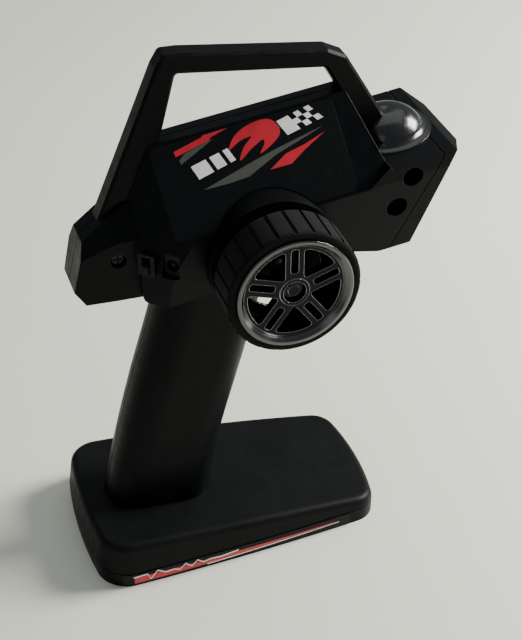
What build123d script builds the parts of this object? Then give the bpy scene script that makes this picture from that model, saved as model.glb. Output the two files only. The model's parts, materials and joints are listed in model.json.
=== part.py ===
"""Pistol-grip radio transmitter controller with a side steering wheel and a carry handle.

Frame: +X toward the nose, +Y toward the side without the wheel, +Z up, millimetres.
The origin is on the mid-plane, at the middle of the base's flat underside.
"""

import math
import os

from build123d import *

# Shell, fits and the shadow lines along the seams
WALL = 2.2
GAP = 0.4
RUN = 0.05
SEAM_WIDTH = 0.5
SEAM_DEPTH = 0.5

# Head: a gable-roofed prism, pitched nose-up, with an upright-sided nose block in front,
# cut by a side outline and a plan outline
PITCH = 7.3
BELT_Z = 183.0
BELT_HALF = 31.0
RIDGE_RISE = 35.0
RIDGE_HALF = 5.5
KEEL_DROP = 38.0
KEEL_HALF = 26.0
HEAD_SIDE = [
    (-34, 214), (54, 225.3), (66, 198), (96.5, 202), (104, 198.5),
    (81.7, 150), (50, 157), (-42, 145), (-44, 190),
]
HEAD_PLAN = [(-46, 14), (-29, 31), (120, 31), (120, -31), (-29, -31), (-46, -14)]
HEAD_ROUND = 1.8
NOSE_RAMP = ((66, 0, 200), (-1.0, 0, 0.93))
REAR_CORNER_CUT = ((-34, 5.5, 214), (-0.67, 0.68, 0.27))
NOSE_CORNER_CUT = ((104, 14.5, 198.5), (0.822, 0.448, -0.352))
NOSE_SPLIT = ((91.0, 0, 202.0), (1.0, 0, -0.46))

# Tail behind the head: three sections of (x, top z, top half, shoulder z, shoulder half, bottom z)
TAIL_SECTIONS = [
    (-30, 193, 7.0, 176, 15.0, 144.5),
    (-52, 187, 6.5, 174, 13.0, 143.5),
    (-76, 172, 5.0, 163, 10.0, 143.0),
]
TAIL_SIDE = [(-30, 195), (-43, 191), (-56, 182.5), (-65.5, 174.5), (-70.8, 151), (-66, 143.5), (-30, 145)]

# Grip: (z, rear x, front x) of rounded sections, all of one width
GRIP_HALF = 16.5
GRIP_LEVELS = [
    (10, -65, -12), (30, -61.5, -9.5), (60, -54.5, -3.0),
    (90, -46.5, 5.5), (120, -37.5, 13.5), (156, -31, 24),
]

# Base
BASE_SEAM_Z = 8.0
BASE_DRAFT = 7.0
BASE_REAR_X = -73.0
BASE_FRONT_X = 65.5
BASE_HALVES = (43.0, 41.0, 35.5)
BASE_TOP = [(-80, 24.5), (0, 19.5), (72, 11.5)]
BASE_TOP_ROUND = 4.0
REAR_CORNER = 16.0
FRONT_CORNER = 12.0
FEET = [(-55, 34), (-55, -34), (54, 24), (54, -24)]
FOOT_R = 6.0
BASE_SCREWS = [(-42, 33.6), (-42, -33.6), (40, 28.0), (40, -28.0), (20, 0)]

# Steering wheel
WHEEL_X = 12.0
WHEEL_Z = 166.0
WHEEL_FACE = 62.0
WHEEL_BACK = 42.0
TYRE_R = 29.6
TYRE_WIDTH = 19.0
GROOVES = 24
RIM_R = 25.7
BARREL_OUTER = 25.0
BARREL_INNER = 22.6
LIP_SECTION = [
    (BARREL_OUTER, WHEEL_FACE - 1.6), (RIM_R, WHEEL_FACE - 1.2), (RIM_R, WHEEL_FACE - 0.3),
    (25.2, WHEEL_FACE), (24.0, WHEEL_FACE), (BARREL_INNER - 0.5, WHEEL_FACE - 1.8),
    (BARREL_INNER - 0.5, WHEEL_FACE - 3.0), (BARREL_OUTER, WHEEL_FACE - 3.0),
]
SPOKES = 5
SPOKE_HALF = 4.1
SLOT_HALF = 1.7
WINDOW_R = 20.6
HUB_R = 6.6
HUB_POCKET = 6.6
BACK_FLANGE_R = 17.5
SHAFT_R = 3.0
POD_R = 29.0
POD_FACE = 35.0

# Trigger
PIVOT_X = 37.0
PIVOT_Z = 165.0
PIN_R = 2.0

# Handle outline
HANDLE_HALF = 5.0
HANDLE_OUTER = [
    (-58, 180), (-29, 248), (-25.5, 253.6), (-18, 253.4), (46, 245.2), (54.5, 241), (79, 200),
]
HANDLE_INNER = [
    (62, 200), (62, 208), (45, 237), (-20.5, 244.5), (-27, 220), (-35, 206), (-42.5, 188), (-42.5, 180),
]

# Antenna cover on the nose
DOME_X = 76.5
DOME_R = 15.5
DOME_RISE = 10.5

# Battery bay, with its hatch hinged on a barrel along the rear edge
BAY_X = (-69.0, -7.0)
BAY_Y = 28.5
CELL_R = 7.2
CELL_LENGTH = 50.0
HATCH_X = (-66.0, -8.0)
HATCH_HALF = 26.4
HATCH_BARREL_R = 1.0
TRUNNION_R = 0.6

# Printed film on the wheel-side slope
FILM_CENTRE = (11.0, 17.5)
FILM_SIZE = (82.0, 41.0)
FILM_THICK = 0.3

# Controls on the far slope, placed along the head, and what is set in the rear corner face
DIALS = [-6.0, 12.0, 30.0]
SLIDES = [43.0, 51.0]
LENSES = [-16.0, -11.0]
BUTTON = 47.0
DIAL_RISE = 13.0
LOW_ROW = DIAL_RISE - 8.0
CORNER_PLANE = Plane(origin=(-37.5, -22.5, 165), x_dir=(1, -1, 0), z_dir=(-1, -1, 0))
SWITCH_AT = (-4.0, 0.5)
JACK_AT = (7.0, 1.5)

# Case screws: (x, z, well radius)
SCREW_WELLS = [(76.5, 192.5, 4.6), (70.5, 177.5, 4.8), (-51.0, 165.0, 3.4)]
WELL_FLOOR = 9.0
SCREW_R = 1.5
SCREW_HEAD_R = 2.7


def outline(points, corner=0.0):
    face = make_face(Polyline(*points, close=True))
    return fillet(face.vertices(), corner) if corner else face


def inward(face, inset):
    return face if inset == 0 else offset(face, amount=-inset, kind=Kind.INTERSECTION)


def across(face, y_low, y_high):
    """A face drawn in X and Z, carried across Y."""
    return extrude(Plane.XZ.offset(-y_high) * face, y_high - y_low)


def along(face, x_low, x_high):
    """A face drawn in Y and Z, carried along X."""
    return extrude(Plane.YZ.offset(x_low) * face, x_high - x_low)


def upright(face, z_low, z_high):
    """A plan face carried up Z."""
    return extrude(Plane.XY.offset(z_low) * face, z_high - z_low)


def rod(x, z, radius, y_low, y_high):
    """A round bar across the body, its axis parallel to Y."""
    return Pos(x, (y_low + y_high) / 2, z) * Rot(90, 0, 0) * Cylinder(radius, y_high - y_low)


def post(x, y, radius, z_low, z_high):
    """A round bar standing along Z."""
    return Pos(x, y, (z_low + z_high) / 2) * Cylinder(radius, z_high - z_low)


def block(x_low, x_high, y_low, y_high, z_low, z_high):
    centre = ((x_low + x_high) / 2, (y_low + y_high) / 2, (z_low + z_high) / 2)
    return Pos(*centre) * Box(x_high - x_low, y_high - y_low, z_high - z_low)


def beyond(point, normal):
    """Everything on the far side of a plane, as a large slab."""
    return extrude(Plane(origin=point, z_dir=normal) * Rectangle(500, 500), 400)


def cut_beyond(form, cut, inset, sides=(1,)):
    """Trims a form with a plane moved inward by inset, once for each side given (+1 or -1)."""
    point, (nx, ny, nz) = cut
    shift = Vector(point) - Vector(nx, ny, nz).normalized() * inset
    for side in sides:
        form = form - beyond((shift.X, side * shift.Y, shift.Z), (nx, side * ny, nz))
    return form


def head_prism(top_half, inset):
    """The head's cross-section carried along its pitched axis."""
    section = [
        (top_half, RIDGE_RISE), (BELT_HALF, 0), (KEEL_HALF, -KEEL_DROP),
        (-KEEL_HALF, -KEEL_DROP), (-BELT_HALF, 0), (-top_half, RIDGE_RISE),
    ]
    face = inward(outline(section, HEAD_ROUND), inset)
    return Pos(0, 0, BELT_Z) * Rot(0, -PITCH, 0) * along(face, -90, 150)


def head_form(inset=0.0):
    nose = cut_beyond(head_prism(BELT_HALF, inset), NOSE_RAMP, inset)
    form = head_prism(RIDGE_HALF, inset) + nose
    form = form & across(inward(outline(HEAD_SIDE, HEAD_ROUND), inset), -40, 40)
    form = form & upright(inward(outline(HEAD_PLAN, HEAD_ROUND), inset), 130, 260)
    form = cut_beyond(form, REAR_CORNER_CUT, inset, (1, -1))
    return cut_beyond(form, NOSE_CORNER_CUT, inset, (1, -1))


def tail_form(inset=0.0):
    faces = []
    for x, top, top_half, shoulder, shoulder_half, bottom in TAIL_SECTIONS:
        section = [
            (top_half, top), (shoulder_half, shoulder), (shoulder_half - 1, bottom),
            (1 - shoulder_half, bottom), (-shoulder_half, shoulder), (-top_half, top),
        ]
        faces.append(Plane.YZ.offset(x) * inward(outline(section), inset))
    return loft(faces, ruled=True) & across(inward(outline(TAIL_SIDE), inset), -20, 20)


def grip_form(inset=0.0):
    faces = []
    for z, rear, front in GRIP_LEVELS:
        half = GRIP_HALF - inset
        section = RectangleRounded(front - rear - 2 * inset, 2 * half, half - 0.6)
        faces.append(Pos((rear + front) / 2, 0, z) * section)
    return loft(faces)


def body_form(inset=0.0):
    return head_form(inset) + tail_form(inset) + grip_form(inset)


def base_face(inset=0.0):
    """The base's plan: four shallow arcs with rounded corners."""
    rear, rear_bulge, front, front_bulge = BASE_REAR_X + inset, 4.0, BASE_FRONT_X - inset, 4.5
    rear_half, middle_half, front_half = (half - inset for half in BASE_HALVES)
    edges = [
        ThreePointArc((rear, rear_half), (rear - rear_bulge, 0), (rear, -rear_half)),
        ThreePointArc((rear, -rear_half), (-5, -middle_half), (front, -front_half)),
        ThreePointArc((front, -front_half), (front + front_bulge, 0), (front, front_half)),
        ThreePointArc((front, front_half), (-5, middle_half), (rear, rear_half)),
    ]
    face = make_face(edges)
    face = fillet(face.vertices().filter_by(lambda v: v.X < -60), REAR_CORNER - inset)
    return fillet(face.vertices().filter_by(lambda v: abs(v.X - front) < 0.01), FRONT_CORNER - inset)


def base_top_form(inset=0.0):
    """The sloped upper body of the base, from the seam up to its arched top."""
    rise = 24.0
    lean = rise * math.tan(math.radians(BASE_DRAFT))
    foot = Pos(0, 0, BASE_SEAM_Z) * base_face(inset)
    head = Pos(0, 0, BASE_SEAM_Z + rise) * base_face(inset + lean)
    start, middle, end = [(x, z - inset) for x, z in BASE_TOP]
    arch = ThreePointArc(start, middle, end)
    beneath = Polyline(end, (end[0], 0), (start[0], 0), start)
    form = loft([foot, head]) & across(make_face([arch, beneath]), -60, 60)
    if inset:
        return form
    rim = [e for e in form.edges() if e.center().Z > BASE_SEAM_Z + 1 and e.length > 8]
    return fillet(rim, BASE_TOP_ROUND)


def pod_form():
    cup = rod(WHEEL_X, WHEEL_Z, POD_R, -POD_FACE, -8)
    cup = cup - rod(WHEEL_X, WHEEL_Z, POD_R - WALL, -POD_FACE + WALL, -7)
    boss = rod(WHEEL_X, WHEEL_Z, 8, -POD_FACE - 4, -POD_FACE + WALL)
    tube = rod(WHEEL_X, WHEEL_Z, 5.5, -POD_FACE + WALL, -22)
    keep = block(-40, 60, -60, 0, 151.5, 240)
    return ((cup + boss + tube) & keep) - rod(WHEEL_X, WHEEL_Z, SHAFT_R + RUN, -45, -10)


def at_wheel(shape):
    """Moves a shape drawn around local +Z so that local +Z points out of the wheel, toward -Y."""
    return Plane(origin=(WHEEL_X, 0, WHEEL_Z), x_dir=(1, 0, 0), z_dir=(0, -1, 0)) * shape


def ring(outer, inner, low, high):
    height = high - low
    middle = Pos(0, 0, (low + high) / 2)
    return middle * Cylinder(outer, height) - middle * Cylinder(inner, height + 2)


def slope_plane(along_head, above_belt, side):
    """A plane lying on the sloping side of the head, its Z pointing outward."""
    pitch = math.radians(PITCH)
    fall = math.atan2(RIDGE_RISE, BELT_HALF - RIDGE_HALF)
    half = BELT_HALF - above_belt / math.tan(fall)
    x = along_head * math.cos(pitch) - above_belt * math.sin(pitch)
    z = BELT_Z + along_head * math.sin(pitch) + above_belt * math.cos(pitch)
    normal = (-math.sin(pitch) * math.cos(fall), side * math.sin(fall), math.cos(pitch) * math.cos(fall))
    return Plane(origin=(x, side * half, z), x_dir=(math.cos(pitch), 0, math.sin(pitch)), z_dir=normal)


def switch_hole():
    return CORNER_PLANE * Pos(*SWITCH_AT) * Box(4.6, 8.6, 12)


def jack_hole():
    return CORNER_PLANE * Pos(*JACK_AT) * Box(7.6, 10.6, 12)


def panel_holes(clearance):
    holes = []
    for u in DIALS:
        holes.append(slope_plane(u, DIAL_RISE, 1) * Cylinder(1.5 + clearance, 20))
    for u in SLIDES:
        holes.append(slope_plane(u, DIAL_RISE + 3, 1) * Box(2.8 + 2 * clearance, 6.4 + 2 * clearance, 20))
    holes.append(slope_plane(BUTTON, LOW_ROW, 1) * Cylinder(2.4 + clearance, 20))
    for u in LENSES:
        holes.append(slope_plane(u, LOW_ROW, 1) * Cylinder(1.5, 20))
    return holes


def seam_grooves(outer):
    """The shadow lines where the two halves meet and where the nose cap starts."""
    skin = outer - body_form(SEAM_DEPTH)
    point, normal = NOSE_SPLIT
    slit = extrude(Plane(origin=point, z_dir=normal) * Rectangle(500, 500), SEAM_WIDTH / 2, both=True)
    lengthwise = block(-200, 200, -SEAM_WIDTH / 2, SEAM_WIDTH / 2, 0, 300) - beyond(*NOSE_SPLIT)
    return (skin & lengthwise) + (skin & slit)


def case_shell():
    outer = body_form()
    shell = outer - body_form(WALL) - seam_grooves(outer)
    for x, z, radius in SCREW_WELLS:
        shell = shell + (rod(x, z, radius + 1.6, -32, 32) & outer)
    for side in (-1, 1):
        shell = shell + (rod(PIVOT_X, PIVOT_Z, 5.0, *sorted((side * 18, side * 30))) & outer)
    shell = shell - base_top_form()
    shell = shell - block(24, 52, -8.5, 8.5, 140, 160)
    shell = shell - rod(WHEEL_X, WHEEL_Z, 6.2, -40, 0)
    shell = shell - rod(PIVOT_X, PIVOT_Z, PIN_R, -22, 22)
    for x, z, radius in SCREW_WELLS:
        shell = shell - rod(x, z, radius, -40, -WELL_FLOOR) - rod(x, z, SCREW_R, -WELL_FLOOR, 9)
    shell = shell - switch_hole() - jack_hole()
    for hole in panel_holes(1.0):
        shell = shell - hole
    return shell


def carry_handle():
    ring_face = make_face(Polyline(*HANDLE_OUTER, *HANDLE_INNER, close=True))
    bar = fillet(ring_face.vertices().filter_by(lambda v: v.Y > 203), 2.0)
    bar = across(bar, -HANDLE_HALF, HANDLE_HALF)
    rims = [e for e in bar.edges() if abs(abs(e.center().Y) - HANDLE_HALF) < 0.01 and e.center().Z > 209]
    return chamfer(rims, 1.2) - head_form() - tail_form() - dome_form()


def nose_top(x):
    """The plane of the nose's flat top, centred under x."""
    (x0, z0), (x1, z1) = HEAD_SIDE[2], HEAD_SIDE[3]
    rise = (z1 - z0) / (x1 - x0)
    return Plane(origin=(x, 0, z0 + rise * (x - x0)), x_dir=(1, 0, rise), z_dir=(-rise, 0, 1))


def dome_form():
    """A low glossy dome on a flared foot, standing square on the nose's top."""
    r = DOME_R
    foot = r + 4.5
    base = Polyline((0, -8), (foot, -8), (foot, 0.4))
    cove = ThreePointArc((foot, 0.4), (r + 1.5, 1.3), (r, 3.6))
    crown = ThreePointArc((r, 3.6), (r * 0.72, DOME_RISE - 2.0), (0, DOME_RISE))
    half = make_face([*base.edges(), cove, crown, Line((0, DOME_RISE), (0, -8))])
    return nose_top(DOME_X) * revolve(Plane.XZ * half, Axis.Z)


def antenna_dome():
    hollow = nose_top(DOME_X) * Pos(0, 0, (DOME_RISE - 4.0) / 2) * Cylinder(10.0, DOME_RISE - 4.0)
    dome = dome_form() - head_form() - hollow
    return dome.solids().sort_by(SortBy.VOLUME)[-1]


def hatch_barrel(radius, reach):
    """A round bar on the hatch's hinge axis."""
    x = HATCH_X[0] + GAP + HATCH_BARREL_R
    return rod(x, HATCH_BARREL_R, radius, -reach, reach)


def base_lower():
    tub = upright(base_face(), 0, BASE_SEAM_Z) - upright(base_face(WALL), 2.0, BASE_SEAM_Z + 1)
    tub = tub - upright(base_face() - base_face(SEAM_DEPTH), BASE_SEAM_Z - SEAM_WIDTH, BASE_SEAM_Z)
    tub = tub - block(*HATCH_X, -HATCH_HALF, HATCH_HALF, -1, 4)
    tub = tub - hatch_barrel(TRUNNION_R + RUN, HATCH_HALF + 1.4)
    for x, y in FEET:
        tub = tub - post(x, y, FOOT_R, -1, 0.8)
    for x, y in BASE_SCREWS:
        tub = tub + post(x, y, 4.0, 1.0, BASE_SEAM_Z)
        tub = tub - post(x, y, 3.0, -1, 3.0) - post(x, y, SCREW_R, 2.0, BASE_SEAM_Z + 1)
    return tub


def base_upper():
    shell = base_top_form() - base_top_form(WALL)
    shell = shell - post(-36, 0, 8.0, 10, 40)
    for x, y in BASE_SCREWS:
        boss = post(x, y, 4.0, BASE_SEAM_Z, 30) & base_top_form()
        shell = shell + boss - post(x, y, SCREW_R, BASE_SEAM_Z - 1, 13)
    return shell


def base_strips():
    """The printed strip along each side of the base, 0.3 mm thick."""
    band = upright(base_face(-0.3), 1.0, 7.2) - upright(base_face(), 0, 9)
    return (band & block(-66, 52, -60, -20, 0, 9)) + (band & block(-66, 52, 20, 60, 0, 9))


def side_decal():
    """A thin printed sheet on the wheel-side slope, cut round for the wheel housing."""
    sheet = slope_plane(*FILM_CENTRE, -1) * extrude(RectangleRounded(*FILM_SIZE, 3), FILM_THICK)
    sheet = sheet - rod(WHEEL_X, WHEEL_Z, POD_R + 0.6, -40, 0)
    return sheet - head_form() - tail_form()


def battery_door():
    half = HATCH_HALF - GAP
    thick = 2 * HATCH_BARREL_R
    door = block(HATCH_X[0] + GAP + HATCH_BARREL_R, HATCH_X[1] - GAP, -half, half, 0, thick)
    door = door + hatch_barrel(HATCH_BARREL_R, half) + hatch_barrel(TRUNNION_R, HATCH_HALF + 1.2)
    for x in (-24, -20, -16):
        door = door - block(x - 0.6, x + 0.6, -9, 9, -1, 0.6)
    return door


def battery_tray():
    (x0, x1), y = BAY_X, BAY_Y
    wall = 1.2
    return block(x0, x1, -y, y, 2.6, 13) - block(x0 + wall, x1 - wall, -y + wall, y - wall, 0, 20)


def cell_centres():
    return [BAY_X[0] + 1.2 + CELL_R + 0.2 + 15.0 * i for i in range(4)]


def battery_cells():
    cells = []
    for i, x in enumerate(cell_centres()):
        side = 1 if i % 2 == 0 else -1
        body = rod(x, 10.3, CELL_R, -CELL_LENGTH / 2, CELL_LENGTH / 2 - 1.5)
        button = rod(x, 10.3, 2.7, CELL_LENGTH / 2 - 1.5, CELL_LENGTH / 2)
        cell = body + button
        cells.append(cell if side == 1 else mirror(cell, Plane.XZ))
    return Compound(children=cells)


def battery_contacts():
    plates = []
    for x in cell_centres():
        for side in (1, -1):
            low, high = sorted((side * (CELL_LENGTH / 2 + 0.4), side * (CELL_LENGTH / 2 + 0.9)))
            plates.append(block(x - 5, x + 5, low, high, 5, 15))
    return Compound(children=plates)


def wheel_tyre():
    middle = WHEEL_FACE - 1.2 - TYRE_WIDTH / 2
    profile = RectangleRounded(TYRE_R - BARREL_OUTER, TYRE_WIDTH, 1.8)
    tyre = revolve(Plane.XZ * Pos((TYRE_R + BARREL_OUTER) / 2, middle) * profile, Axis.Z)
    for i in range(GROOVES):
        tyre = tyre - Rot(0, 0, 360 / GROOVES * i) * Pos(TYRE_R, 0, middle) * Box(1.4, 1.6, TYRE_WIDTH + 4)
    return at_wheel(tyre)


def wheel_disc_outline():
    """The wheel's face: five windows leave five broad spokes, each with a slot down its middle."""
    step = 360 / SPOKES
    slant = math.radians(step / 2)
    apex = SPOKE_HALF / math.sin(slant)
    far = (apex + 40 * math.cos(slant), 40 * math.sin(slant))
    wedge = make_face(Polyline((apex, 0), far, (far[0], -far[1]), close=True)) & Circle(WINDOW_R)
    window = fillet(wedge.vertices(), 1.3)
    slot = Pos((9.0 + WINDOW_R) / 2, 0) * RectangleRounded(WINDOW_R - 9.0, 2 * SLOT_HALF, 1.2)
    disc = Circle(BARREL_INNER + 0.8)
    for i in range(SPOKES):
        turn = Rot(0, 0, 90 + step * i)
        disc = disc - turn * Rot(0, 0, step / 2) * window - turn * slot
    return disc


def wheel_rim():
    face = WHEEL_FACE
    back = WHEEL_BACK + 0.4
    rim = ring(BARREL_OUTER, BARREL_INNER, back, face - 1.2)
    rim = rim + ring(BARREL_OUTER, BACK_FLANGE_R, back, back + 1.4)
    rim = rim + revolve(Plane.XZ * outline(LIP_SECTION), Axis.Z)
    disc = wheel_disc_outline()
    rim = rim + extrude(Plane.XY.offset(face - 7.0) * disc, 4.6)
    rim = rim + Pos(0, 0, face - 8.5) * Cylinder(HUB_R, 13.4)
    rim = rim - Pos(0, 0, face - HUB_POCKET + 5) * Cylinder(5.0, 10)
    return at_wheel(rim - Pos(0, 0, face - 11) * Cylinder(SHAFT_R + RUN, 30))


def wheel_shaft():
    return at_wheel(Pos(0, 0, 32) * Cylinder(SHAFT_R, 46))


def wheel_nut():
    seat = WHEEL_FACE - HUB_POCKET
    nut = Pos(0, 0, seat) * extrude(RegularPolygon(4.6, 6), 2.8)
    cap = Pos(0, 0, seat + 3.2) * Cylinder(2.6, 0.8)
    return at_wheel(nut + cap)


def steering_pot():
    body = block(WHEEL_X - 9, WHEEL_X + 9, -16, -4, WHEEL_Z - 9, WHEEL_Z + 9)
    collar = rod(WHEEL_X, WHEEL_Z, 5.0, -18, -16)
    return body + collar - rod(WHEEL_X, WHEEL_Z, SHAFT_R + RUN, -19, -8)


def coil(radius, wire, pitch, turns):
    path = Helix(pitch=pitch, height=pitch * turns, radius=radius)
    start = Plane(origin=path @ 0, z_dir=path % 0)
    return sweep(start * Circle(wire), path)


def steering_spring():
    spring = coil(7.4, 0.5, 1.3, 2)
    return Plane(origin=(WHEEL_X, -19.2, WHEEL_Z), x_dir=(1, 0, 0), z_dir=(0, -1, 0)) * spring


def trigger_spring():
    spring = coil(3.6, 0.4, 1.2, 4)
    return Plane(origin=(PIVOT_X, -9.5, PIVOT_Z), x_dir=(1, 0, 0), z_dir=(0, -1, 0)) * spring


def trigger():
    loop = Pos(PIVOT_X + 3, 126) * RectangleRounded(24, 38, 11.8)
    loop = loop - Pos(PIVOT_X + 3.5, 125.5) * RectangleRounded(16, 30, 7.8)
    stem = outline([(PIVOT_X - 5, PIVOT_Z), (PIVOT_X - 6, 140), (PIVOT_X + 7, 140), (PIVOT_X + 5, PIVOT_Z)])
    hub = Pos(PIVOT_X, PIVOT_Z) * Circle(6.5)
    body = across(loop + stem + hub, -6.5, 6.5)
    rims = [e for e in body.edges() if abs(abs(e.center().Y) - 6.5) < 0.01 and e.center().Z < 140]
    body = chamfer(rims, 1.0)
    return body - rod(PIVOT_X, PIVOT_Z, PIN_R + RUN, -8, 8)


def throttle_pot():
    body = block(PIVOT_X - 8, PIVOT_X + 8, 8, 16, PIVOT_Z - 4.5, PIVOT_Z + 9)
    return body - rod(PIVOT_X, PIVOT_Z, PIN_R + RUN, 7, 17)


def main_board():
    board = block(-20, 60, 2.0, 3.6, 177, 205)
    return board & head_form(WALL + 0.5)


def board_parts():
    chips = [
        block(-8, 6, 3.6, 5.4, 186, 198),
        block(14, 22, 3.6, 5.0, 182, 190),
        block(30, 36, 3.6, 6.6, 186, 198),
        block(42, 56, 3.6, 6.2, 190, 200),
        block(-16, -12, 3.6, 8.0, 184, 190),
    ]
    return Compound(children=chips)


def antenna_board():
    disc = nose_top(DOME_X) * Pos(0, 0, 0.6) * Cylinder(8.5, 1.2)
    return disc - head_form()


def control_panel():
    plate = slope_plane(18, DIAL_RISE, 1) * extrude(RectangleRounded(78, 27, 4), 1.4)
    for hole in panel_holes(RUN)[:3] + panel_holes(0.0)[3:]:
        plate = plate - hole
    return plate - head_form()


def dial(u):
    knob = Pos(0, 0, 3.8) * Cylinder(6.0, 4.0)
    for i in range(18):
        knob = knob - Rot(0, 0, 20 * i) * Pos(6.0, 0, 3.8) * Cylinder(0.45, 6)
    pointer = Pos(0, 3.6, 5.8) * Box(0.9, 3.2, 0.7)
    stem = Pos(0, 0, -3.0) * Cylinder(1.5, 10)
    return slope_plane(u, DIAL_RISE, 1) * (knob - pointer + stem)


def trim_pots():
    bodies = []
    for u in DIALS:
        body = Pos(0, 0, -6.6) * Box(9, 9, 6) - Pos(0, 0, -6.6) * Cylinder(1.5 + RUN, 10)
        bodies.append(slope_plane(u, DIAL_RISE, 1) * body)
    return Compound(children=bodies)


def reverse_switch(u):
    return slope_plane(u, DIAL_RISE + 3, 1) * Pos(0, -1.4, 0.4) * Box(2.1, 2.8, 4.0)


def bind_button():
    return slope_plane(BUTTON, LOW_ROW, 1) * Pos(0, 0, 0.9) * Cylinder(2.05, 4.6)


def status_lenses():
    return Compound(children=[slope_plane(u, LOW_ROW, 1) * Cylinder(1.5, 3.4) for u in LENSES])


def switch_bezel():
    frame = Pos(0, 0, 0.5) * Box(8.0, 10.4, 1.0) - Box(4.0, 8.0, 6)
    return CORNER_PLANE * Pos(*SWITCH_AT) * frame - head_form() - tail_form()


def switch_slider():
    u, v = SWITCH_AT
    return CORNER_PLANE * Pos(u, v - 1.9, 0.4) * Box(3.2, 3.4, 3.6)


def charge_jack():
    socket = Pos(0, 0, -4.6) * Box(7.6, 10.6, 4.0) - Pos(0, 0, -3.6) * Cylinder(3.0, 4.0)
    pin = Pos(0, 0, -5.0) * Cylinder(1.0, 3.2)
    return CORNER_PLANE * Pos(*JACK_AT) * (socket + pin)


def rubber_feet():
    return Compound(children=[post(x, y, FOOT_R, 0, 0.8) for x, y in FEET])


def cross_screw(head_height, length):
    """A cross-recessed screw pointing along local -Z, the underside of its head at the local origin."""
    head = Pos(0, 0, head_height / 2) * Cylinder(SCREW_HEAD_R, head_height)
    recess = Pos(0, 0, head_height) * (Box(4.0, 0.6, 1.8) + Box(0.6, 4.0, 1.8))
    return head - recess + Pos(0, 0, -length / 2) * Cylinder(SCREW_R, length)


def case_screws():
    screws = []
    for x, z, radius in SCREW_WELLS:
        seat = Plane(origin=(x, -WELL_FLOOR, z), z_dir=(0, -1, 0))
        screws.append(seat * cross_screw(2.0, WELL_FLOOR + 8))
    return Compound(children=screws)


def base_screws():
    screws = []
    for x, y in BASE_SCREWS:
        seat = Plane(origin=(x, y, 3.0), z_dir=(0, 0, -1))
        screws.append(seat * cross_screw(1.8, 9.0))
    return Compound(children=screws)


def save(shape, node):
    """Writes one named piece of the assembly."""
    export_step(shape, f"parts/{node}.step")


def main():
    os.makedirs("parts", exist_ok=True)
    shell = case_shell()
    nose = beyond(*NOSE_SPLIT)
    save(shell & nose, "nose_cap")
    shell = shell - nose
    save(shell & block(-200, 200, -60, 0, 0, 300), "case_right")
    save(shell & block(-200, 200, 0, 60, 0, 300), "case_left")
    save(carry_handle(), "carry_handle")
    save(antenna_dome(), "antenna_dome")
    save(pod_form() - head_form(), "wheel_housing")
    save(base_upper(), "base_upper")
    save(base_lower(), "base_lower")
    save(base_strips(), "base_strips")
    save(side_decal(), "side_decal")
    save(battery_door(), "battery_door")
    save(battery_tray(), "battery_tray")
    save(battery_cells(), "battery_cells")
    save(battery_contacts(), "battery_contacts")
    save(wheel_tyre(), "wheel_tyre")
    save(wheel_rim(), "wheel_rim")
    save(wheel_shaft(), "wheel_shaft")
    save(wheel_nut(), "wheel_nut")
    save(steering_pot(), "steering_pot")
    save(steering_spring(), "steering_spring")
    save(trigger(), "trigger")
    save(rod(PIVOT_X, PIVOT_Z, PIN_R, -21, 21), "trigger_pin")
    save(trigger_spring(), "trigger_spring")
    save(throttle_pot(), "throttle_pot")
    save(main_board(), "main_board")
    save(board_parts(), "board_parts")
    save(antenna_board(), "antenna_board")
    save(control_panel(), "control_panel")
    save(trim_pots(), "trim_pots")
    for name, u in zip(("steering_trim", "throttle_trim", "steering_rate"), DIALS):
        save(dial(u), f"{name}_dial")
    for name, u in zip(("steering_reverse", "throttle_reverse"), SLIDES):
        save(reverse_switch(u), f"{name}_switch")
    save(bind_button(), "bind_button")
    save(status_lenses(), "status_lenses")
    save(switch_bezel(), "switch_bezel")
    save(switch_slider(), "switch_slider")
    save(charge_jack(), "charge_jack")
    save(rubber_feet(), "rubber_feet")
    save(case_screws(), "case_screws")
    save(base_screws(), "base_screws")


main()
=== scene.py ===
"""Looks of the pistol-grip radio transmitter: finishes, printed graphics, floor, light and camera.

Frame: +X toward the nose, +Y toward the side without the wheel, +Z up, metres.
"""

import json
import math

import bmesh
import bpy
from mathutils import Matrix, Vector


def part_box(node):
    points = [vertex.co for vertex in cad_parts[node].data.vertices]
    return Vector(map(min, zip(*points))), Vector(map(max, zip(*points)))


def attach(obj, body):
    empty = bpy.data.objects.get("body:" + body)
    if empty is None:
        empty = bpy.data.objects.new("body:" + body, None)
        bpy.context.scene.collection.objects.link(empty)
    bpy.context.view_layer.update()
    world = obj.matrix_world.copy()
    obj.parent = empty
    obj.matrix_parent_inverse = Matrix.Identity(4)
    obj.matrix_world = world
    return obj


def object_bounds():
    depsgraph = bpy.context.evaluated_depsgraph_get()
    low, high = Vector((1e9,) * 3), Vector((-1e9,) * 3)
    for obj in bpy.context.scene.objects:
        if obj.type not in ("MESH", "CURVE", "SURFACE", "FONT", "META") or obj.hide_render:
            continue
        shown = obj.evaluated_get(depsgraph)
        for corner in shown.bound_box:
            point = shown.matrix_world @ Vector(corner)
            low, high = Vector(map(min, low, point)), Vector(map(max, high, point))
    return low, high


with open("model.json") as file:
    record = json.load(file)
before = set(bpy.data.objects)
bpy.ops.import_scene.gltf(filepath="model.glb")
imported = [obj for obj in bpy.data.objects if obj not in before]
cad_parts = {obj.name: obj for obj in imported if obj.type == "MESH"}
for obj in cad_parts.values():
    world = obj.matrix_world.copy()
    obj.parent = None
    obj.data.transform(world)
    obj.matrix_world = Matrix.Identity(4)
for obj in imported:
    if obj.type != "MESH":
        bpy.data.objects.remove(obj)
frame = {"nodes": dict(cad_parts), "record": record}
cad_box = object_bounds()
nodes = frame["nodes"]

MM = 0.001

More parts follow.
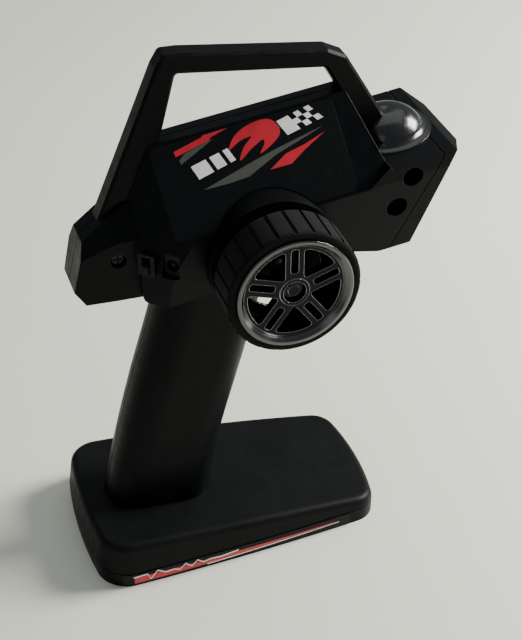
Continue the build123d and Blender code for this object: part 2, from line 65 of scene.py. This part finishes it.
# Camera, in degrees, metres and millimetres of lens
VIEW_AZIMUTH = -19.0
VIEW_ELEVATION = 36.2
VIEW_DISTANCE = 0.6877
VIEW_AIM = (0.0178, 0.0, 0.1088)
LENS = 82.35

# Lamps: place and size in metres, power in watts, colour
LAMPS = {
    "key": ((1.06, 0.0, 0.74), (0.5, 0.5), 37.0, (1.0, 1.0, 0.97)),
    "overhead": ((0.1, 0.55, 1.5), (1.8, 1.4), 6.0, (1.0, 1.0, 0.98)),
    "fill": ((-1.1, -0.9, 0.9), (1.0, 0.8), 1.5, (0.92, 0.96, 1.0)),
}
SKY = (0.84, 0.92, 0.97)
SKY_STRENGTH = 0.25
FLOOR_RADIUS = 6.0

# Colours, linear
BODY_BLACK = (0.0016, 0.0021, 0.0028)
HANDLE_BLACK = (0.0018, 0.0022, 0.0028)
BASE_BLACK = (0.0045, 0.0048, 0.0050)
SCUFFED = (0.035, 0.035, 0.037)
DOME_BLACK = (0.0040, 0.0042, 0.0046)
FILM_BLACK = (0.0018, 0.0022, 0.0028)
INK_RED = (0.56, 0.010, 0.026)
INK_WHITE = (0.90, 0.90, 0.87)
INK_OLIVE = (0.066, 0.074, 0.056)
PANEL_GREY = (0.012, 0.012, 0.013)
FLOOR = (0.79, 0.79, 0.68)

# Ink: how far it stands above and reaches below the surface it is printed on
INK_THICK = 0.06 * MM
INK_SUNK = 0.03 * MM
PULSE_LIFT = 0.8 * INK_THICK

# The film's layout is drawn taller than the film: its height is drawn in about one level
SQUEEZE = 0.92
SQUEEZE_FROM = -2.4

# Control panel, in millimetres: scale marks round each dial, signs beyond them, pointer paint
DIALS = ("steering_trim", "throttle_trim", "steering_rate")
NEAR_SLOPE = (0, -1, 0.5)
FAR_SLOPE = (0, 1, 0.5)
TICKS = 11
TICK_SWEEP = 135
TICK_START = 7.3
TICK_END = 8.4
LONG_TICK_END = 9.0
TICK_HALF = 0.22
SIGN_APART = 5.4
SIGN_ABOVE = 10.4
SIGN_REACH = 0.9
SIGN_HALF = 0.2
POINTER_HALF = 0.43
POINTER_SPAN = (2.02, 5.18)
POINTER_LEVELS = (-0.37, -0.05)


# ---------------------------------------------------------------- node graphs


def add(tree, kind, settings=None, **inputs):
    """Adds a shader node, with its settings and its named inputs set or linked."""
    made = tree.nodes.new("ShaderNode" + kind)
    for name, value in (settings or {}).items():
        setattr(made, name, value)
    for name, value in inputs.items():
        plug(tree, made.inputs[name.replace("_", " ")], value)
    return made


def plug(tree, socket, value):
    if isinstance(value, bpy.types.NodeSocket):
        tree.links.new(value, socket)
    else:
        socket.default_value = value


def new_material(name):
    material = bpy.data.materials.new(name)
    material.use_nodes = True
    tree = material.node_tree
    tree.nodes.clear()
    shader = add(tree, "BsdfPrincipled")
    output = add(tree, "OutputMaterial")
    tree.links.new(shader.outputs["BSDF"], output.inputs["Surface"])
    place = add(tree, "TexCoord").outputs["Object"]
    return material, tree, shader, place


def noise(tree, place, size, detail=3.0, stretch=(1, 1, 1)):
    """Cloudy noise whose features are about as large as size, longer along an axis with a stretch over 1."""
    scale = tuple(1 / s for s in stretch)
    moved = add(tree, "Mapping", Vector=place, Scale=scale).outputs["Vector"]
    return add(tree, "TexNoise", Vector=moved, Scale=1 / size, Detail=detail).outputs["Fac"]


def span(tree, value, low, high, to_low, to_high):
    made = add(tree, "MapRange", Value=value, From_Min=low, From_Max=high, To_Min=to_low, To_Max=to_high)
    return made.outputs["Result"]


def mix(tree, factor, first, second):
    made = tree.nodes.new("ShaderNodeMix")
    made.data_type = "RGBA"
    for index, value in ((0, factor), (6, first), (7, second)):
        plug(tree, made.inputs[index], (*value, 1) if isinstance(value, tuple) else value)
    return made.outputs[2]


def times(tree, first, second):
    made = add(tree, "Math", {"operation": "MULTIPLY"})
    plug(tree, made.inputs[0], first)
    plug(tree, made.inputs[1], second)
    return made.outputs[0]


def shade(colour, factor):
    return tuple(c * factor for c in colour)


def rounded_normal(tree, radius):
    return add(tree, "Bevel", {"samples": 6}, Radius=radius).outputs["Normal"]


def edge_mask(tree, rounded):
    """Is 1 along sharp edges and 0 on open surfaces."""
    flat = add(tree, "NewGeometry").outputs["Normal"]
    dot = add(tree, "VectorMath", {"operation": "DOT_PRODUCT"})
    plug(tree, dot.inputs[0], rounded)
    plug(tree, dot.inputs[1], flat)
    return span(tree, dot.outputs["Value"], 0.995, 0.90, 0.0, 1.0)


def bump(tree, height, distance, under):
    return add(tree, "Bump", Height=height, Distance=distance, Normal=under).outputs["Normal"]


# ---------------------------------------------------------------- finishes


def plastic(name, colour, rough, grain=0.45 * MM, depth=0.020 * MM, rounding=0.45 * MM, shine=0.09, coat=0.0):
    """Moulded plastic: spark-eroded grain, hand polish in patches, and scuffed edges."""
    material, tree, shader, place = new_material(name)
    rounded = rounded_normal(tree, rounding)
    fine = noise(tree, place, grain, 2.0)
    cloud = noise(tree, place, 22 * MM, 4.0)
    smudge = noise(tree, place, 5 * MM, 6.0)
    scratch = noise(tree, place, 0.9 * MM, 2.0, (18, 2, 1))
    tone = mix(tree, span(tree, cloud, 0.3, 0.7, 0, 1), shade(colour, 0.82), shade(colour, 1.22))
    worn = times(tree, edge_mask(tree, rounded), span(tree, smudge, 0.42, 0.66, 0.0, 0.35))
    plug(tree, shader.inputs["Base Color"], mix(tree, worn, tone, SCUFFED))
    polish = span(tree, smudge, 0.3, 0.7, rough - 0.06, rough + 0.07)
    marks = span(tree, scratch, 0.66, 0.72, 0.0, 0.10)
    total = add(tree, "Math", {"operation": "ADD"})
    plug(tree, total.inputs[0], polish)
    plug(tree, total.inputs[1], marks)
    plug(tree, shader.inputs["Roughness"], total.outputs[0])
    plug(tree, shader.inputs["Normal"], bump(tree, fine, depth, rounded))
    shader.inputs["Specular IOR Level"].default_value = shine
    shader.inputs["Coat Weight"].default_value = coat
    shader.inputs["Coat Roughness"].default_value = 0.12
    return material


def gloss(name, colour, rough, shine=0.3, rounding=0.08 * MM, speck=0.004 * MM):
    """Polished plastic with faint dust and hairline marks."""
    material, tree, shader, place = new_material(name)
    rounded = rounded_normal(tree, rounding)
    dust = noise(tree, place, 0.5 * MM, 3.0)
    hair = noise(tree, place, 0.6 * MM, 2.0, (1, 26, 3))
    wave = noise(tree, place, 6 * MM, 2.0)
    tone = mix(tree, span(tree, dust, 0.62, 0.78, 0, 0.35), colour, SCUFFED)
    plug(tree, shader.inputs["Base Color"], tone)
    haze = span(tree, hair, 0.55, 0.75, rough, rough + 0.16)
    plug(tree, shader.inputs["Roughness"], haze)
    plug(tree, shader.inputs["Normal"], bump(tree, wave, speck, rounded))
    shader.inputs["Specular IOR Level"].default_value = shine
    return material


def ink(name, colour, rough=0.34):
    """Screen-printed ink: fine dot texture, slightly uneven cover, rubbed at its rim."""
    material, tree, shader, place = new_material(name)
    rounded = rounded_normal(tree, 0.08 * MM)
    cover = noise(tree, place, 7 * MM, 5.0)
    dots = noise(tree, place, 0.25 * MM, 1.0)
    rubbed = noise(tree, place, 1.6 * MM, 6.0)
    tone = mix(tree, span(tree, cover, 0.3, 0.7, 0, 1), shade(colour, 0.84), shade(colour, 1.06))
    loss = span(tree, rubbed, 0.66, 0.74, 0.0, 0.5)
    plug(tree, shader.inputs["Base Color"], mix(tree, loss, tone, shade(colour, 0.45)))
    plug(tree, shader.inputs["Roughness"], span(tree, dots, 0.3, 0.7, rough - 0.05, rough + 0.08))
    plug(tree, shader.inputs["Normal"], bump(tree, dots, 0.006 * MM, rounded))
    shader.inputs["Coat Weight"].default_value = 0.25
    shader.inputs["Coat Roughness"].default_value = 0.2
    return material


def foam(name, colour):
    """Open-cell foam rubber: round pores, rougher where the tread has rubbed."""
    material, tree, shader, place = new_material(name)
    rounded = rounded_normal(tree, 0.5 * MM)
    pores = add(tree, "TexVoronoi", {"feature": "SMOOTH_F1"}, Vector=place, Scale=1 / (0.75 * MM))
    crumbs = noise(tree, place, 0.4 * MM, 4.0)
    rubbed = noise(tree, place, 9 * MM, 4.0)
    depth = times(tree, pores.outputs["Distance"], span(tree, crumbs, 0.2, 0.8, 0.6, 1.2))
    tone = mix(tree, span(tree, depth, 0.1, 0.6, 1, 0), shade(colour, 0.5), shade(colour, 1.4))
    dusty = mix(tree, span(tree, rubbed, 0.5, 0.75, 0, 0.5), tone, shade(colour, 2.6))
    plug(tree, shader.inputs["Base Color"], dusty)
    plug(tree, shader.inputs["Roughness"], span(tree, rubbed, 0.3, 0.7, 0.78, 0.97))
    plug(tree, shader.inputs["Normal"], bump(tree, depth, 0.16 * MM, rounded))
    shader.inputs["Specular IOR Level"].default_value = 0.15
    shader.inputs["Sheen Weight"].default_value = 0.03
    return material


def plated(name, colour, rough, stretch=(1, 1, 1)):
    """Plated or bare metal: fine lay marks, finger haze and rounded arrises."""
    material, tree, shader, place = new_material(name)
    rounded = rounded_normal(tree, 0.25 * MM)
    haze = noise(tree, place, 4 * MM, 5.0)
    lay = noise(tree, place, 0.3 * MM, 2.0, stretch)
    tone = mix(tree, span(tree, haze, 0.3, 0.7, 0, 1), shade(colour, 0.85), shade(colour, 1.1))
    plug(tree, shader.inputs["Base Color"], tone)
    plug(tree, shader.inputs["Roughness"], span(tree, haze, 0.35, 0.7, rough, rough + 0.10))
    plug(tree, shader.inputs["Normal"], bump(tree, lay, 0.004 * MM, rounded))
    shader.inputs["Metallic"].default_value = 1.0
    return material


def rim_chrome(name, centre):
    """Black chrome in the spokes and hub, brighter toward the lip, by distance from the wheel's axis, with a
    painted highlight of bright grey along every sharp edge.
    """
    material, tree, shader, place = new_material(name)
    rounded = rounded_normal(tree, 0.35 * MM)
    haze = noise(tree, place, 3.5 * MM, 5.0)
    swirl = noise(tree, place, 0.5 * MM, 2.0)
    away = add(tree, "VectorMath", {"operation": "SUBTRACT"})
    plug(tree, away.inputs[0], place)
    away.inputs[1].default_value = centre
    flat = add(tree, "VectorMath", {"operation": "MULTIPLY"})
    plug(tree, flat.inputs[0], away.outputs["Vector"])
    flat.inputs[1].default_value = (1, 0, 1)
    length = add(tree, "VectorMath", {"operation": "LENGTH"})
    plug(tree, length.inputs[0], flat.outputs["Vector"])
    lip = span(tree, length.outputs["Value"], 21.6 * MM, 22.4 * MM, 0.0, 1.0)
    # Painted highlight: the sharp edges of the spokes, hub and lip are painted a bright grey, standing in for
    # the light they catch.
    edge = times(tree, edge_mask(tree, rounded), 0.95)
    chrome_with_edge_highlight = mix(tree, edge, (0.012, 0.012, 0.014), (0.60, 0.60, 0.61))
    tone = mix(tree, lip, chrome_with_edge_highlight, (0.105, 0.105, 0.11))
    plug(tree, shader.inputs["Base Color"], tone)
    plug(tree, shader.inputs["Roughness"], span(tree, haze, 0.35, 0.7, 0.14, 0.26))
    plug(tree, shader.inputs["Normal"], bump(tree, swirl, 0.003 * MM, rounded))
    shader.inputs["Metallic"].default_value = 1.0
    return material


def board(name):
    """Solder-masked circuit board with a faint trace pattern."""
    material, tree, shader, place = new_material(name)
    traces = add(tree, "TexBrick", Vector=place, Scale=1 / (6 * MM), Mortar_Size=0.06)
    traces.inputs["Color1"].default_value = (0.010, 0.085, 0.035, 1)
    traces.inputs["Color2"].default_value = (0.012, 0.100, 0.042, 1)
    traces.inputs["Mortar"].default_value = (0.030, 0.190, 0.085, 1)
    grain = noise(tree, place, 0.6 * MM, 2.0)
    plug(tree, shader.inputs["Base Color"], traces.outputs["Color"])
    plug(tree, shader.inputs["Roughness"], span(tree, grain, 0.3, 0.7, 0.32, 0.5))
    plug(tree, shader.inputs["Normal"], bump(tree, grain, 0.01 * MM, rounded_normal(tree, 0.1 * MM)))
    return material


def lens(name, colour):
    material, tree, shader, place = new_material(name)
    ripple = noise(tree, place, 0.4 * MM, 1.0)
    plug(tree, shader.inputs["Base Color"], mix(tree, ripple, shade(colour, 0.7), shade(colour, 1.2)))
    plug(tree, shader.inputs["Roughness"], span(tree, ripple, 0.3, 0.7, 0.08, 0.2))
    plug(tree, shader.inputs["Normal"], bump(tree, ripple, 0.01 * MM, rounded_normal(tree, 0.5 * MM)))
    shader.inputs["Coat Weight"].default_value = 0.8
    return material


def dress():
    """Gives every CAD node its finish."""
    low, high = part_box("wheel_rim")
    wheel_centre = tuple((low + high) / 2)
    finishes = {
        "case_plastic": plastic("case_plastic_look", BODY_BLACK, 0.40),
        "handle_plastic": plastic("handle_plastic_look", HANDLE_BLACK, 0.38),
        "base_plastic": plastic("base_plastic_look", BASE_BLACK, 0.46),
        "dome_plastic": gloss("dome_look", DOME_BLACK, 0.20, 0.75, 0.4 * MM),
        "rim_chrome": rim_chrome("rim_look", wheel_centre),
        "tyre_foam": foam("tyre_look", (0.0026, 0.0029, 0.0030)),
        "bright_steel": plated("steel", (0.52, 0.52, 0.53), 0.24, (1, 12, 1)),
        "board_green": board("board_look"),
        "chip_black": plastic("chip_look", (0.012, 0.012, 0.012), 0.55),
        "pot_shell": plated("pot_look", (0.42, 0.42, 0.43), 0.35, (8, 1, 1)),
        "decal_film": gloss("film_look", FILM_BLACK, 0.40, 0.15),
        "strip_film": gloss("strip_look", FILM_BLACK, 0.40, 0.15),
        "panel_plastic": plastic("panel_look", PANEL_GREY, 0.42, grain=0.3 * MM),
        "dial_plastic": plastic("dial_look", (0.013, 0.013, 0.014), 0.5, rounding=0.25 * MM),
        "button_red": plastic("button_look", (0.42, 0.012, 0.010), 0.3, depth=0.006 * MM, coat=0.3),
        "lens_green": lens("lens_look", (0.03, 0.42, 0.10)),
        "cell_wrap": gloss("cell_look", (0.03, 0.07, 0.22), 0.3),
        "contact_steel": plated("contact_look", (0.62, 0.58, 0.48), 0.22),
        "foot_rubber": foam("foot_look", (0.020, 0.020, 0.020)),
        "trigger_plastic": plastic("trigger_look", (0.010, 0.010, 0.011), 0.42),
    }
    oxide = plated("screw_look", (0.022, 0.022, 0.024), 0.36)
    slots = {part["node"]: part["material_slot"] for part in frame["record"]["subparts"]}
    for name, node in nodes.items():
        look = oxide if name in ("case_screws", "base_screws") else finishes[slots[name]]
        if not node.data.materials:
            node.data.materials.append(look)
        for index in range(len(node.data.materials)):
            node.data.materials[index] = look


# ---------------------------------------------------------------- printed graphics


class Face:
    """A flat face of a CAD node: its centre, its outward normal, and axes along the head and its slope."""

    def __init__(self, node, toward):
        mesh = nodes[node].data
        facing = [p for p in mesh.polygons if p.normal.dot(Vector(toward)) > 0.5]
        biggest = max(facing, key=lambda p: p.area)
        self.normal = biggest.normal.copy()
        self.u = Vector((0, 1, 0)).cross(self.normal).normalized()
        self.v = self.normal.cross(self.u)
        flush = [p for p in facing if p.normal.dot(self.normal) > 0.9999]
        spots = [mesh.vertices[i].co for p in flush for i in p.vertices]
        level = max(s.dot(self.normal) for s in spots)
        us = [s.dot(self.u) for s in spots]
        vs = [s.dot(self.v) for s in spots]
        middle_u, middle_v = (min(us) + max(us)) / 2, (min(vs) + max(vs)) / 2
        self.centre = self.u * middle_u + self.v * middle_v + self.normal * level

    def at(self, u, v, rise=0.0):
        return self.centre + self.u * u + self.v * v + self.normal * rise

    def find(self, point):
        away = Vector(point) - self.centre
        return away.dot(self.u), away.dot(self.v)


def placed(name, mesh, look):
    """Turns a finished bmesh into an object of the scene with one material."""
    data = bpy.data.meshes.new(name)
    mesh.to_mesh(data)
    mesh.free()
    piece = bpy.data.objects.new(name, data)
    bpy.context.scene.collection.objects.link(piece)
    data.materials.append(look)
    return piece


def closed_sheet(name, rings, look, body="case"):
    """A thin closed piece between a lower and an upper ring of matching points."""
    mesh = bmesh.new()
    lower, upper = ([mesh.verts.new(p) for p in ring] for ring in rings)
    count = len(lower)
    mesh.faces.new(upper)
    mesh.faces.new(lower[::-1])
    for i in range(count):
        after = (i + 1) % count
        mesh.faces.new((lower[i], lower[after], upper[after], upper[i]))
    bmesh.ops.recalc_face_normals(mesh, faces=mesh.faces)
    bmesh.ops.triangulate(mesh, faces=mesh.faces)
    piece = placed(name, mesh, look)
    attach(piece, body)
    return piece


def printed(name, face, points, look):
    """An ink shape on a flat face, from an outline in millimetres."""
    spots = [(u * MM, v * MM) for u, v in points]
    lower = [face.at(u, v, -INK_SUNK) for u, v in spots]
    upper = [face.at(u, v, INK_THICK) for u, v in spots]
    return closed_sheet(name, (lower, upper), look)


def smooth_outline(points, steps=6):
    """A closed smooth curve through the points (Catmull-Rom)."""
    count = len(points)
    made = []
    for i in range(count):
        p0, p1, p2, p3 = (Vector(points[(i + k) % count]) for k in (-1, 0, 1, 2))
        for k in range(steps):
            t = k / steps
            a = 2 * p1 + (p2 - p0) * t + (2 * p0 - 5 * p1 + 4 * p2 - p3) * t * t
            made.append(tuple((a + (3 * p1 - p0 - 3 * p2 + p3) * t ** 3) / 2))
    return made


def squeezed(points):
    """The layout's height, drawn in to fit the film."""
    return [(u, SQUEEZE_FROM + (v - SQUEEZE_FROM) * SQUEEZE) for u, v in points]


def slanted_bar(start, width, corners):
    """A stripe of a leaning block, from one share of its length to another."""
    (bottom_left, bottom_right, top_right, top_left) = (Vector(c) for c in corners)
    low, high = start, start + width
    return [
        tuple(bottom_left.lerp(bottom_right, low)),
        tuple(bottom_left.lerp(bottom_right, high)),
        tuple(top_left.lerp(top_right, high)),
        tuple(top_left.lerp(top_right, low)),
    ]


def patch(corners, s0, s1, t0, t1):
    """A cell of a leaning block, between shares s along it and t up it."""
    bottom_left, bottom_right, top_right, top_left = (Vector(c) for c in corners)

    def spot(s, t):
        return tuple(bottom_left.lerp(bottom_right, s).lerp(top_left.lerp(top_right, s), t))

    return [spot(s0, t0), spot(s1, t0), spot(s1, t1), spot(s0, t1)]


# Shapes on the head's film, in millimetres along it and up it from its middle
RED_STREAK = [
    (-31, 18.3), (-18.0, 21.2), (-17.0, 22.0), (-6.0, 22.2), (-14.4, 20.0), (-15.0, 19.0), (-30.7, 15.7),
]
OLIVE_STREAK = [(-29.7, 13.8), (-26.7, 16.2), (-12.7, 19.4), (-23.2, 14.6), (-29.4, 11.8)]
SPEED_BARS = [(-23.8, 3.1), (-6.4, 7.1), (-8.6, 13.3), (-25.8, 9.7)]
BAR_SHARES = [(0.0, 0.40), (0.50, 0.26), (0.86, 0.14)]
FLAME = [
    (13.6, 19.6), (9.0, 21.6), (1.5, 20.6), (-4.6, 17.4), (-8.2, 12.2), (-2.6, 14.8), (2.6, 15.4),
    (-1.8, 11.6), (-4.8, 6.2), (1.4, 10.0), (6.8, 12.6), (7.2, 10.6), (4.4, 6.8), (10.4, 9.4), (15.2, 13.6),
]
CHECKER = [(18.0, 11.4), (35.1, 14.9), (30.2, 22.1), (14.9, 18.9)]
OLIVE_SLASH = [
    (-23.5, -2.0), (-1.2, 3.9), (11.8, 7.0), (33.9, 11.2),
    (26.1, 8.7), (11.0, 4.4), (-3.0, -1.9), (-12.8, -2.4),
]
RED_SLASH = [(6.4, -1.6), (15.1, 3.6), (23.8, 5.3), (34.1, 8.4), (23.1, 2.7), (16.2, -1.7)]


def side_graphics(inks):
    """Streaks, bars, a flame and a checkered flash on the wheel-side film."""
    face = Face("side_decal", NEAR_SLOPE)
    printed("side_red_streak", face, squeezed(RED_STREAK), inks["red"])
    printed("side_olive_streak", face, squeezed(OLIVE_STREAK), inks["olive"])
    printed("side_olive_slash", face, squeezed(OLIVE_SLASH), inks["olive"])
    printed("side_red_slash", face, squeezed(RED_SLASH), inks["red"])
    printed("side_flame", face, squeezed(smooth_outline(FLAME)), inks["red"])
    for i, (start, width) in enumerate(BAR_SHARES):
        bar = slanted_bar(start, width, SPEED_BARS)
        printed(f"side_bar_{i}", face, squeezed(bar), inks["white"])
    printed("side_flag_0", face, squeezed(patch(CHECKER, 0, 0.36, 0, 1)), inks["white"])
    columns, rows = 4, 3
    step = 0.64 / columns
    for column in range(columns):
        for row in range(rows):
            if (column + row) % 2:
                start = 0.36 + step * column
                cell = patch(CHECKER, start, start + step, row / rows, (row + 1) / rows)
                printed(f"side_flag_{column}_{row}", face, squeezed(cell), inks["white"])


class BaseSide:
    """The outer face of the printed strip on one side of the base."""

    def __init__(self, side):
        spots = [v.co for v in nodes["base_strips"].data.vertices if v.co.y * side > 0]
        outer = {}
        for spot in spots:
            key = round(spot.x / (0.5 * MM))
            outer[key] = max(outer.get(key, 0.0), spot.y * side)
        self.line = sorted((key * 0.5 * MM, y) for key, y in outer.items())
        self.side = side

    def out(self, x):
        """How far the strip's face is from the mid-plane."""
        line = self.line
        for (x0, y0), (x1, y1) in zip(line, line[1:]):
            if x0 <= x <= x1:
                return y0 + (y1 - y0) * (x - x0) / (x1 - x0)
        return line[0][1] if x < line[0][0] else line[-1][1]

    def at(self, x, z, rise):
        return Vector((x, self.side * (self.out(x) + rise), z))


def ribbon(name, side, upper, lower, look):
    """An ink band on the base's side between two height lines, each a list of (x, z) in millimetres."""
    made_u, made_l = fill_in(upper), fill_in(lower)
    loop = made_u + made_l[::-1]
    mesh = bmesh.new()
    rows = []
    for x, z in loop:
        rows.append([mesh.verts.new(side.at(x * MM, z * MM, rise)) for rise in (-INK_SUNK, INK_THICK)])
    half = len(made_u)
    count = len(loop)
    for i in range(half - 1):
        j = count - 1 - i
        for level in (0, 1):
            quad = [rows[i][level], rows[i + 1][level], rows[j - 1][level], rows[j][level]]
            mesh.faces.new(quad)
    for i in range(count):
        after = (i + 1) % count
        mesh.faces.new((rows[i][0], rows[after][0], rows[after][1], rows[i][1]))
    bmesh.ops.recalc_face_normals(mesh, faces=mesh.faces)
    piece = placed(name, mesh, look)
    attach(piece, "case")
    return piece


def fill_in(line, steps=6):
    """Extra points along a line, so that an ink band follows the curve of the side."""
    made = []
    for (x0, z0), (x1, z1) in zip(line, line[1:]):
        for k in range(steps):
            t = k / steps
            made.append((x0 + (x1 - x0) * t, z0 + (z1 - z0) * t))
    return made + [line[-1]]


# Bands on the base's side, in millimetres: (x, z) along the upper and the lower edge
WEDGE = ([(-60.5, 5.3), (-30, 5.0), (44, 4.7)], [(-60.5, 1.5), (-30, 2.0), (44, 4.2)])
PALE_LINE = ([(-24, 2.3), (46, 4.0)], [(-24, 1.7), (46, 3.7)])
PULSE_HALF = 0.32
PULSE = [
    (-61, 5.6), (-54, 5.9), (-52.5, 2.4), (-49, 6.7), (-45, 4.2), (-41, 4.6), (-38, 3.4),
    (-35, 6.3), (-32, 3.6), (-29, 6.4), (-26, 4.2), (-22, 5.0), (-17, 4.6), (-8, 5.6),
]


def base_graphics(inks):
    """A tapering red wedge with a white pulse line and a thin pale line, on both sides of the base."""
    for name, way in (("near", -1), ("far", 1)):
        side = BaseSide(way)
        ribbon(f"{name}_wedge", side, *WEDGE, inks["red"])
        ribbon(f"{name}_pale_line", side, *PALE_LINE, inks["white"])
        upper = [(x, z + PULSE_HALF) for x, z in PULSE]
        lower = [(x, z - PULSE_HALF) for x, z in PULSE]
        pulse = ribbon(f"{name}_pulse", side, upper, lower, inks["white"])
        for vertex in pulse.data.vertices:
            vertex.co.y += way * PULSE_LIFT


def bar(x0, x1, y0, y1):
    return [(x0, y0), (x1, y0), (x1, y1), (x0, y1)]


def tick(middle, angle, start, end):
    """A scale mark pointing outward from the middle of a dial."""
    along = Vector((math.sin(angle), math.cos(angle)))
    across = Vector((along.y, -along.x)) * TICK_HALF
    inner, outer = middle + along * start, middle + along * end
    return [tuple(p) for p in (inner + across, outer + across, outer - across, inner - across)]


def panel_graphics(inks):
    """Scale marks round the dials, with plain minus and plus signs beyond them."""
    face = Face("control_panel", FAR_SLOPE)
    look, slot = inks["white"], "panel_plastic"
    for name in DIALS:
        middle = Vector(face.find(Face(f"{name}_dial", FAR_SLOPE).centre)) / MM
        for k in range(TICKS):
            share = 2 * k / (TICKS - 1) - 1
            end = LONG_TICK_END if share in (-1, 0, 1) else TICK_END
            points = tick(middle, math.radians(TICK_SWEEP) * share, TICK_START, end)
            printed(f"{name}_tick_{k}", face, points, look)
        for sign, way in (("minus", -1), ("plus", 1)):
            x, y = middle.x + way * SIGN_APART, middle.y - SIGN_ABOVE
            level = bar(x - SIGN_REACH, x + SIGN_REACH, y - SIGN_HALF, y + SIGN_HALF)
            printed(f"{name}_{sign}_bar", face, level, look)
            if sign == "plus":
                low = bar(x - SIGN_HALF, x + SIGN_HALF, y - SIGN_REACH, y - SIGN_HALF)
                high = bar(x - SIGN_HALF, x + SIGN_HALF, y + SIGN_HALF, y + SIGN_REACH)
                printed(f"{name}_plus_low", face, low, look)
                printed(f"{name}_plus_high", face, high, look)


def dial_pointers(inks):
    """White paint in the pointer groove on top of each dial."""
    outline = bar(-POINTER_HALF, POINTER_HALF, *POINTER_SPAN)
    for name in DIALS:
        knob = Face(f"{name}_dial", FAR_SLOPE)
        rings = [[knob.at(u * MM, v * MM, level * MM) for u, v in outline] for level in POINTER_LEVELS]
        closed_sheet(f"{name}_pointer", rings, inks["white"], name)


# ---------------------------------------------------------------- stage, light, camera


def floor_look():
    """Matt painted board: cloudy tone, fine grain."""
    material, tree, shader, place = new_material("floor_look")
    cloud = noise(tree, place, 0.25, 4.0)
    grain = noise(tree, place, 0.6 * MM, 2.0)
    plug(tree, shader.inputs["Base Color"], mix(tree, cloud, shade(FLOOR, 0.97), shade(FLOOR, 1.03)))
    plug(tree, shader.inputs["Roughness"], span(tree, cloud, 0.3, 0.7, 0.42, 0.52))
    plug(tree, shader.inputs["Normal"], add(tree, "Bump", Height=grain, Distance=0.01 * MM).outputs["Normal"])
    return material


def floor():
    mesh = bmesh.new()
    bmesh.ops.create_circle(mesh, cap_ends=True, segments=96, radius=FLOOR_RADIUS)
    placed("floor", mesh, floor_look())


def area_light(name, aim, place, size, power, colour):
    data = bpy.data.lights.new(name, "AREA")
    data.shape = "RECTANGLE"
    data.size, data.size_y = size
    data.energy = power
    data.color = colour
    lamp = bpy.data.objects.new(name, data)
    lamp.location = place
    lamp.rotation_euler = (Vector(aim) - Vector(place)).to_track_quat("-Z", "Y").to_euler()
    bpy.context.scene.collection.objects.link(lamp)


def lights():
    middle = (cad_box[0] + cad_box[1]) / 2
    for name, settings in LAMPS.items():
        area_light(name, middle, *settings)
    world = bpy.data.worlds.new("studio")
    world.use_nodes = True
    sky = world.node_tree.nodes["Background"]
    sky.inputs["Color"].default_value = (*SKY, 1)
    sky.inputs["Strength"].default_value = SKY_STRENGTH
    bpy.context.scene.world = world


def camera():
    data = bpy.data.cameras.new("camera")
    data.lens = LENS
    data.clip_start = 0.05
    eye = bpy.data.objects.new("camera", data)
    azimuth, elevation = math.radians(VIEW_AZIMUTH), math.radians(VIEW_ELEVATION)
    back = Vector((
        math.sin(azimuth) * math.cos(elevation),
        -math.cos(azimuth) * math.cos(elevation),
        math.sin(elevation),
    ))
    eye.location = Vector(VIEW_AIM) + back * VIEW_DISTANCE
    eye.rotation_euler = (-back).to_track_quat("-Z", "Y").to_euler()
    bpy.context.scene.collection.objects.link(eye)
    bpy.context.scene.camera = eye


dress()
printed_inks = {
    "red": ink("ink_red", INK_RED),
    "white": ink("ink_white", INK_WHITE),
    "olive": ink("ink_olive", INK_OLIVE),
}
side_graphics(printed_inks)
base_graphics(printed_inks)
panel_graphics(printed_inks)
dial_pointers(printed_inks)
floor()
lights()
camera()
